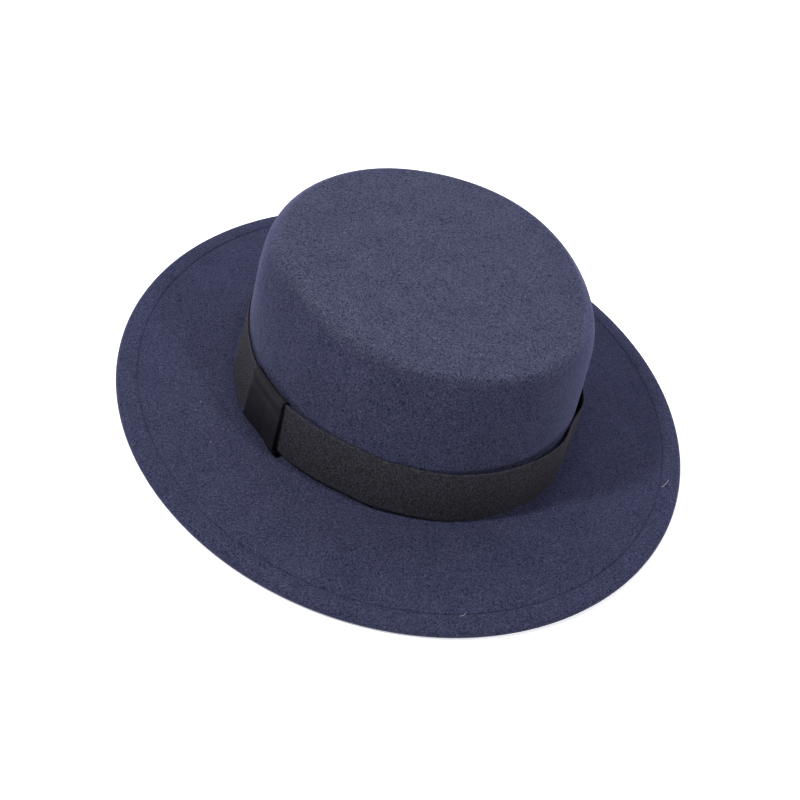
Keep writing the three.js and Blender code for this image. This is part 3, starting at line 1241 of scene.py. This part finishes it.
@dataclass
class RibbonBand:
    """Ribbed ribbon round the foot of the crown."""

    lines: HatLines
    finish: RibbonFinish = field(default_factory=RibbonFinish)
    width: float = 27.0
    thickness: float = 0.75
    slack: float = 2.6
    rise: float = 3.2
    clearance: float = 0.4
    keeper_turn: float = -0.163
    keeper_width: float = 29.5
    keeper_ply: float = 0.9
    keeper_ramp: float = 0.07
    columns: int = 3160
    ribs: int = 790
    rib_depth: float = 0.10
    sections: tuple[tuple[float, float, float, float], ...] = (
        (0.02, 0.4, 0.3, 0.0),
        (0.07, 0.6, 0.5, 0.0),
        (0.13, 0.95, 0.6, 0.0),
        (0.167, 0.1, 0.1, 0.1),
        (0.19, 0.65, 0.3, 0.2),
        (0.215, 0.0, 0.0, 0.3),
        (0.35, 0.0, 0.0, 0.9),
        (0.5, 0.0, 0.0, 0.5),
        (0.60, -0.05, -0.05, 0.2),
        (0.70, -0.12, -0.12, 0.1),
        (0.728, -0.12, 0.0, 0.1),
        (0.76, -0.16, 0.95, 0.1),
        (0.785, -0.3, 1.0, 0.1),
        (0.85, 0.0, 0.15, 0.6),
        (0.93, 0.0, 0.0, 1.0),
        (0.97, 0.1, 0.1, 0.5),
    )

    def value(self, column: int, turn: np.ndarray) -> np.ndarray:
        """Value of a column of the sections, eased between them.

        Args:
            column: 1 for the top's stand-off, 2 for the foot's, 3 for the rise.
            turn: Where round the crown.

        Returns:
            The value at each turn.
        """
        rows = np.array(self.sections)
        rows = np.concatenate([rows[-1:] - [1, 0, 0, 0], rows, rows[:1] + [1, 0, 0, 0]])
        around = np.mod(turn, 1.0)
        high = np.searchsorted(rows[:, 0], around, side="right")
        low = high - 1
        share = (around - rows[low, 0]) / (rows[high, 0] - rows[low, 0])
        share = share * share * (3 - 2 * share)
        return mix(rows[low, column], rows[high, column], share)

    def at(self, turn: np.ndarray) -> tuple[np.ndarray, np.ndarray, np.ndarray, np.ndarray]:
        """Foot, top and the two stand-offs of the ribbon.

        Args:
            turn: Where round the crown.

        Returns:
            Height of the foot and of the top, and how far each stands off the felt.
        """
        away = np.abs(turn - self.keeper_turn - np.round(turn - self.keeper_turn))
        half = self.lines.turn_of(self.keeper_width, self.keeper_turn) / 2
        near = 1 - smoothstep(half, half + self.keeper_ramp, away)
        lift = self.clearance + (self.keeper_ply + self.clearance) * near
        foot = lift + self.rise * self.value(3, turn)
        below = np.maximum(0, self.lines.foot_radius - foot)
        gap = self.lines.foot_radius - np.sqrt(self.lines.foot_radius**2 - below**2)
        foot_out = lift + gap + self.slack * self.value(2, turn)
        return foot, foot + self.width, foot_out, lift + self.slack * self.value(1, turn)

    def rib_tree(self) -> bpy.types.NodeTree:
        """Builds the geometry tree that raises the ribs.

        Returns:
            The tree.
        """
        build = Tree(bpy.data.node_groups.new("ribbon ribs", "GeometryNodeTree"))
        given = build.sockets(
            [
                ("Geometry", "Geometry"),
                ("Rib Count", "Float", 100.0),
                ("Rib Depth", "Float", 0.0001),
                ("Material", "Material"),
            ],
            [("Geometry", "Geometry")],
        )
        turns = build.math("MULTIPLY", build.named("along"), given["Rib Count"])
        height = build.math("MULTIPLY", build.wave(turns, 1.0), build.named("face"))
        height = build.math("MULTIPLY", height, given["Rib Depth"])
        normal = build.node("GeometryNodeInputNormal").outputs[0]
        move = build.node("ShaderNodeVectorMath", {0: normal, 3: height}, operation="SCALE")
        raised = build.node(
            "GeometryNodeSetPosition", {"Geometry": given["Geometry"], "Offset": move.outputs[0]}
        )
        return build.end(raised.outputs[0], given["Material"])

    def build(self) -> bpy.types.Object:
        """Makes the ribbon.

        Returns:
            The ribbon piece.
        """
        turns = np.arange(self.columns) / self.columns
        foot, top, foot_out, top_out = self.at(turns)
        t = self.thickness
        loop = [(1.0, 0.5 * t, 0.0), (0.985, t, 0.2), (0.96, 1.02 * t, 0.6)]
        loop += [(s, t, 1.0) for s in (0.93, 0.8, 0.65, 0.5, 0.35, 0.2, 0.07)]
        loop += [(0.04, 1.08 * t, 0.5), (0.015, t, 0.2), (0.0, 0.5 * t, 0.0), (0.015, 0.0, 0.2)]
        loop += [(s, 0.0, 0.6) for s in (0.25, 0.5, 0.75, 0.985)]
        rows = [
            self.lines.beside(turns, mix(foot, top, s), mix(foot_out, top_out, s) + out)
            for s, out, _ in loop
        ]
        piece = loft("ribbon", np.stack(rows), np.array([s for s, _, _ in loop]))
        store(piece, "along", np.tile(turns, len(loop)))
        store(piece, "face", np.repeat(np.array([f for _, _, f in loop]), self.columns))
        apply_tree(
            piece,
            self.rib_tree(),
            {
                "Rib Count": float(self.ribs),
                "Rib Depth": self.rib_depth * MM,
                "Material": self.finish.material(),
            },
        )
        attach(piece, BODY)
        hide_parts("ribbon_band")
        return piece


@dataclass
class BandKeeper:
    """Folded satin sleeve that holds the ribbon's ends together."""

    lines: HatLines
    band: RibbonBand
    finish: SatinFinish = field(default_factory=SatinFinish)
    margin: float = 0.35
    ply: float = 0.75
    columns: int = 60
    stand_off: float = 2.0
    bow: float = 0.5
    rolls: tuple[tuple[float, float, float], ...] = ((0.35, 0.9, 0.05), (-0.3, 0.8, 0.05))
    end_bulge: float = 0.3

    def loop(self, layer: float) -> list[tuple[float, float, float]]:
        """Places round the ribbon's section.

        Args:
            layer: Distance of the layer from the ribbon.

        Returns:
            For each place: share of the height, millimetres beyond it, and side from
            0 on the crown's side to 1 on the outer side.
        """
        fold = [math.pi * i / 6 for i in range(7)]
        made = [(1.0, layer * math.sin(a), 0.5 - 0.5 * math.cos(a)) for a in fold]
        made += [(s, 0.0, 1.0) for s in np.linspace(0.94, 0.06, 16)]
        made += [(0.0, -layer * math.sin(a), 0.5 + 0.5 * math.cos(a)) for a in fold]
        made += [(s, 0.0, 0.0) for s in (0.1, 0.35, 0.65, 0.9)]
        return made

    def layer_points(self, turns: np.ndarray, layer: float) -> np.ndarray:
        """Points of one face of the sleeve.

        Args:
            turns: Where the columns lie round the crown.
            layer: Distance of the face from the ribbon.

        Returns:
            Columns by places by xyz.
        """
        foot, top, foot_out, top_out = self.band.at(turns)
        across = np.linspace(0, 1, len(turns))
        rows = []
        for share, beyond, side in self.loop(layer):
            height = mix(foot, top, share) + beyond
            base = mix(foot_out, top_out, share)
            low, high = base - layer, base + self.band.thickness + layer
            roll = sum(by * bell(share, middle, width) for by, middle, width in self.rolls)
            away = self.bow * math.sin(math.pi * share) * np.sin(math.pi * across) + roll
            away = away + self.stand_off * (1 - 0.65 * share) * smoothstep(0.55, 1.0, across)
            rows.append(self.lines.beside(turns, height, mix(low, high, side) + side * away))
        return np.stack(rows, axis=1)

    def build(self) -> bpy.types.Object:
        """Makes the keeper.

        Returns:
            The keeper piece.
        """
        band = self.band
        half = self.lines.turn_of(band.keeper_width, band.keeper_turn) / 2
        turns = np.linspace(band.keeper_turn - half, band.keeper_turn + half, self.columns)
        outer = self.layer_points(turns, self.margin + self.ply)
        inner = self.layer_points(turns, self.margin)
        rim = (outer + inner) / 2
        nudge = self.lines.beside(turns[[0, -1]], np.zeros(2), np.zeros(2))
        step = self.lines.beside(turns[[1, -2]], np.zeros(2), np.zeros(2))
        push = (nudge - step) / np.linalg.norm(nudge - step, axis=1, keepdims=True)
        push *= self.end_bulge
        rings = np.concatenate([rim[:1] + push[0], outer, rim[-1:] + push[1], inner[::-1]])
        piece = loft("keeper", rings[::-1])
        dress(piece, self.finish.material())
        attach(piece, BODY)
        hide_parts("band_keeper")
        return piece


@dataclass
class Lint:
    """Pale fibres and specks caught on the felt."""

    finish: ThreadFinish = ThreadFinish(
        "pale lint", roughness=0.8, dark=(0.35, 0.33, 0.30), pale=(0.62, 0.60, 0.56)
    )
    weight: Weight = Weight.LINT
    speck: Point = (0.5, 0.35, 0.0)
    speck_bend: float = 0.25
    above: float = 0.08
    arch: float = 0.12
    strands: tuple[tuple[Point, Point, float], ...] = (
        ((14.6, -157.2, 5.6), (17.5, -154.7, 5.8), 0.5),
        ((128.2, -58.4, 5.3), (132.9, -52.6, 5.2), 0.35),
    )
    specks: tuple[Point, ...] = (
        (-88.7, 83.0, 7.6),
        (-104.7, -32.0, 8.0),
        (-106.9, -38.1, 7.7),
        (-98.9, -60.4, 7.8),
    )

    def build(self, felt: bpy.types.Object) -> bpy.types.Object:
        """Lays the lint on the felt.

        Args:
            felt: The felt piece, whose surface the lint lies on.

        Returns:
            The lint piece.
        """
        curve = bpy.data.curves.new("lint", "CURVE")
        curve.dimensions = "3D"
        curve.bevel_depth = self.weight.value * MM
        curve.bevel_resolution = 2
        curve.use_fill_caps = True
        specks = [(p, tuple(np.add(p, self.speck)), self.speck_bend) for p in self.specks]
        shares = np.linspace(0, 1, 9)
        for start, end, bend in (*self.strands, *specks):
            spline = curve.splines.new("POLY")
            spline.points.add(len(shares) - 1)
            a, b = np.array(start), np.array(end)
            side = np.cross(b - a, (0, 0, 1.0))
            side /= np.linalg.norm(side)
            for point, s in zip(spline.points, shares, strict=True):
                at = mix(a, b, s) + side * bend * math.sin(math.pi * s)
                ray = felt.ray_cast(Vector((at[0] * MM, at[1] * MM, 0.03)), Vector((0, 0, -1)))
                height = ray[1].z + self.above * MM if ray[0] else at[2] * MM
                height += self.arch * MM * math.sin(math.pi * s)
                point.co = (at[0] * MM, at[1] * MM, height, 1)
        shell = linked("lint_curve", curve)
        graph = bpy.context.evaluated_depsgraph_get()
        mesh = bpy.data.meshes.new_from_object(shell.evaluated_get(graph), depsgraph=graph)
        bpy.data.objects.remove(shell)
        piece = linked("lint", mesh)
        dress(piece, self.finish.material())
        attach(piece, BODY)
        return piece


@dataclass(frozen=True)
class Lamp:
    """Round soft light that faces the hat."""

    name: str
    towards: Point
    reach: float
    size: float
    power: float
    colour: Colour = (1.0, 1.0, 1.0)

    def hang(self) -> None:
        """Hangs the light."""
        data = bpy.data.lights.new(self.name, "AREA")
        data.shape, data.size, data.energy = "DISK", self.size, self.power
        data.color = self.colour
        made = linked(self.name, data)
        towards = Vector(self.towards).normalized()
        made.location = towards * self.reach + Vector((0, 0, 0.03))
        made.rotation_mode = "QUATERNION"
        made.rotation_quaternion = (-towards).to_track_quat("-Z", "Y")


@dataclass
class Studio:
    """Pale floor, soft lights and the camera at the photograph's angle."""

    target: Point = (0.0, 0.0, 0.0102)
    right: Point = (0.9801, -0.0655, 0.1876)
    up: Point = (-0.1050, 0.6308, 0.7688)
    back: Point = (-0.1687, -0.7731, 0.6114)
    distance: float = 0.8
    lens: float = 69.76
    shift: tuple[float, float] = (-0.0078, -0.0258)
    lamps: tuple[Lamp, ...] = (
        Lamp("key", (-0.608, -0.163, 0.777), 2.0, 0.22, 28.0),
        Lamp("side", (0.456, -0.507, 0.731), 2.0, 0.22, 16.0),
        Lamp("back", (0.0, 0.643, 0.766), 2.0, 1.4, 19.0, (1.0, 1.0, 1.06)),
        Lamp("back left", (-0.542, 0.455, 0.707), 2.0, 1.4, 7.0),
        Lamp("back right", (0.542, 0.455, 0.707), 2.0, 1.4, 10.5, (0.93, 0.96, 1.25)),
    )
    floor_colour: Colour = (0.93, 0.93, 0.93)
    floor_glow: float = 0.55
    floor_reach: float = 4.0
    floor_z: float = -0.0002
    floor_roughness: float = 0.9
    floor_specular: float = 0.1
    sky: Colour = (1.0, 1.0, 1.0)
    sky_strength: float = 0.04

    def camera(self) -> None:
        """Sets the camera up."""
        data = bpy.data.cameras.new("camera")
        data.lens = self.lens
        data.sensor_width = 36.0
        data.shift_x, data.shift_y = self.shift
        data.clip_start, data.clip_end = 0.01, 20.0
        made = linked("camera", data)
        turn = Matrix((self.right, self.up, self.back)).transposed().to_4x4()
        at = Vector(self.target) + Vector(self.back) * self.distance
        made.matrix_world = Matrix.Translation(at) @ turn
        bpy.context.scene.camera = made

    def floor(self) -> None:
        """Lays the floor."""
        mesh = bpy.data.meshes.new("floor")
        corners = [(-1, -1), (1, -1), (1, 1), (-1, 1)]
        reach, z = self.floor_reach, self.floor_z
        mesh.from_pydata([(x * reach, y * reach, z) for x, y in corners], [], [(0, 1, 2, 3)])
        made = linked("floor", mesh)
        material = bpy.data.materials.new("white studio floor")
        material.use_nodes = True
        inputs = material.node_tree.nodes["Principled BSDF"].inputs
        inputs["Base Color"].default_value = (*self.floor_colour, 1.0)
        inputs["Roughness"].default_value = self.floor_roughness
        inputs["Specular IOR Level"].default_value = self.floor_specular
        inputs["Emission Color"].default_value = (*self.floor_colour, 1.0)
        inputs["Emission Strength"].default_value = self.floor_glow
        dress(made, material)

    def build(self) -> None:
        """Sets up the whole studio."""
        scene = bpy.context.scene
        world = bpy.data.worlds.new("studio")
        world.use_nodes = True
        shade = world.node_tree.nodes["Background"]
        shade.inputs[0].default_value = (*self.sky, 1.0)
        shade.inputs[1].default_value = self.sky_strength
        scene.world = world
        scene.view_settings.view_transform = "Standard"
        self.camera()
        self.floor()
        for lamp in self.lamps:
            lamp.hang()


def main() -> None:
    """Builds the hat and the studio, piece by piece."""
    logging.basicConfig(level=logging.INFO, format="%(message)s")
    Studio().build()
    lines = HatLines()
    band = RibbonBand(lines)
    felt = FeltBody(lines).build()
    pieces = [felt, FeltNap().build(felt), *HemStitching(lines).build(), band.build()]
    pieces += [BandKeeper(lines, band).build(), Lint().build(felt)]
    for piece in pieces:
        piece.data.calc_loop_triangles()
        log.info("%s: %d triangles", piece.name, len(piece.data.loop_triangles))


if __name__ == "__main__":
    main()
